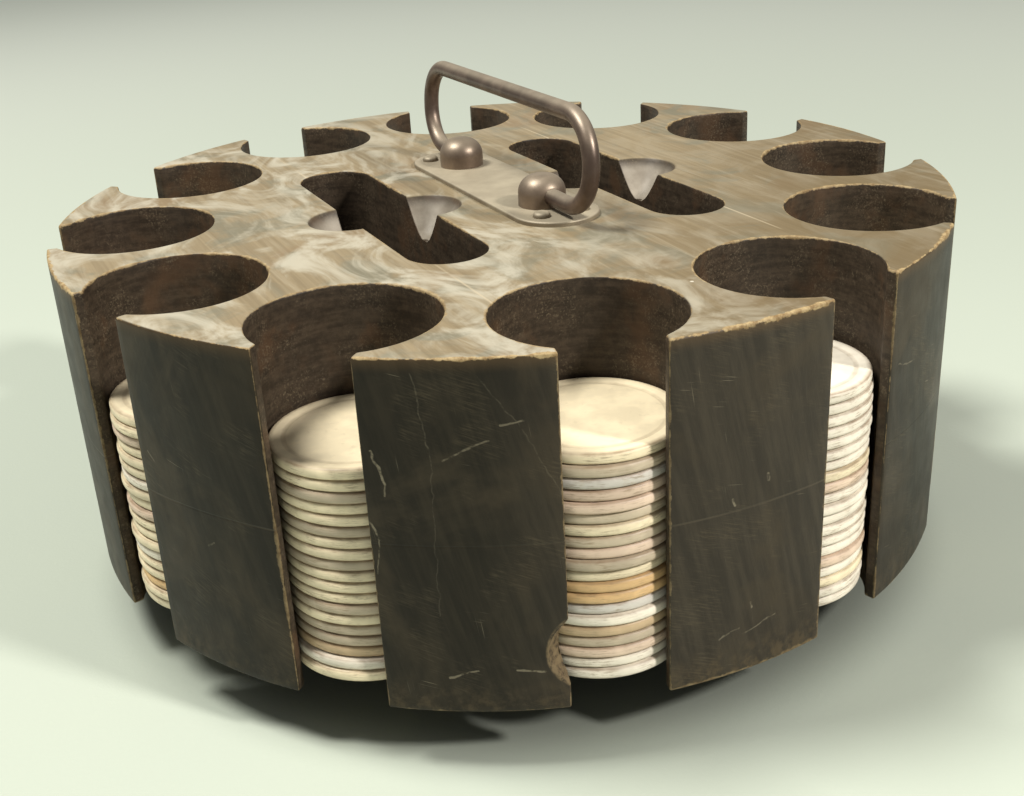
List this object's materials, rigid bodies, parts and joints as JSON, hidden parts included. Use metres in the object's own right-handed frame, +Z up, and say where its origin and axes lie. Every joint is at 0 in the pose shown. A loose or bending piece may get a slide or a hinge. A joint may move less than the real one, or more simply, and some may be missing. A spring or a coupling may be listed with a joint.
{
  "type": "poker chip carousel",
  "caption": "Revolving round wooden rack with open-sided wells of poker chips, card pockets with finger scoops and a swinging metal bail handle.",
  "frame": {"origin": "on the table under the centre of the base", "axes": "+Z up along the turning axis, Y along the handle, teeth on the X and Y axes"},
  "size_m": [0.229, 0.229, 0.1221],
  "materials": {
    "felt": "worn felt",
    "base_wood": "dark stain",
    "fibre": "vulcanised fibre",
    "steel": "plain",
    "floor_wood": "dark stain",
    "brass": "plain",
    "body_wood": "worn dark varnish",
    "plate_metal": "dusty patina",
    "post_metal": "brown patina",
    "bail_metal": "brown patina",
    "chip": "aged cream composition"
  },
  "bodies": {
    "base": {"felt_pad": "felt", "base_disc": "base_wood", "thrust_washer": "fibre", "pivot_bolt": "steel", "top_washer": "steel", "pivot_nut": "steel"},
    "carousel": {"floor_disc": "floor_wood", "pivot_bushing": "brass", "floor_screws": "steel", "lower_board_left": "body_wood", "lower_board_middle": "body_wood", "lower_board_right": "body_wood", "upper_board_left": "body_wood", "upper_board_middle": "body_wood", "upper_board_right": "body_wood", "handle_plate": "plate_metal", "post_front": "post_metal", "post_rear": "post_metal", "plate_screws": "post_metal"},
    "bail": {"bail": "bail_metal"},
    "chips_01": {"chip_stack_01": "chip"},
    "chips_02": {"chip_stack_02": "chip"},
    "chips_03": {"chip_stack_03": "chip"},
    "chips_04": {"chip_stack_04": "chip"},
    "chips_05": {"chip_stack_05": "chip"},
    "chips_06": {"chip_stack_06": "chip"},
    "chips_07": {"chip_stack_07": "chip"},
    "chips_08": {"chip_stack_08": "chip"},
    "chips_09": {"chip_stack_09": "chip"},
    "chips_10": {"chip_stack_10": "chip"},
    "chips_11": {"chip_stack_11": "chip"},
    "chips_12": {"chip_stack_12": "chip"}
  },
  "joints": [
    {"name": "carousel_spin", "type": "hinge", "parent": "base", "child": "carousel", "pos_m": [0, 0, 0.014], "axis": [0, 0, 1], "continuous": true},
    {"name": "bail_swing", "type": "hinge", "parent": "carousel", "child": "bail", "pos_m": [0.0016, 0.0034, 0.0981], "axis": [0, 1, 0], "range_deg": [-94, 86]},
    {"name": "lift_01", "type": "slide", "parent": "carousel", "child": "chips_01", "axis": [0, 0, 1], "range_m": [0, 0.08]},
    {"name": "lift_02", "type": "slide", "parent": "carousel", "child": "chips_02", "axis": [0, 0, 1], "range_m": [0, 0.08]},
    {"name": "lift_03", "type": "slide", "parent": "carousel", "child": "chips_03", "axis": [0, 0, 1], "range_m": [0, 0.08]},
    {"name": "lift_04", "type": "slide", "parent": "carousel", "child": "chips_04", "axis": [0, 0, 1], "range_m": [0, 0.08]},
    {"name": "lift_05", "type": "slide", "parent": "carousel", "child": "chips_05", "axis": [0, 0, 1], "range_m": [0, 0.08]},
    {"name": "lift_06", "type": "slide", "parent": "carousel", "child": "chips_06", "axis": [0, 0, 1], "range_m": [0, 0.08]},
    {"name": "lift_07", "type": "slide", "parent": "carousel", "child": "chips_07", "axis": [0, 0, 1], "range_m": [0, 0.08]},
    {"name": "lift_08", "type": "slide", "parent": "carousel", "child": "chips_08", "axis": [0, 0, 1], "range_m": [0, 0.08]},
    {"name": "lift_09", "type": "slide", "parent": "carousel", "child": "chips_09", "axis": [0, 0, 1], "range_m": [0, 0.08]},
    {"name": "lift_10", "type": "slide", "parent": "carousel", "child": "chips_10", "axis": [0, 0, 1], "range_m": [0, 0.08]},
    {"name": "lift_11", "type": "slide", "parent": "carousel", "child": "chips_11", "axis": [0, 0, 1], "range_m": [0, 0.08]},
    {"name": "lift_12", "type": "slide", "parent": "carousel", "child": "chips_12", "axis": [0, 0, 1], "range_m": [0, 0.08]}
  ]
}
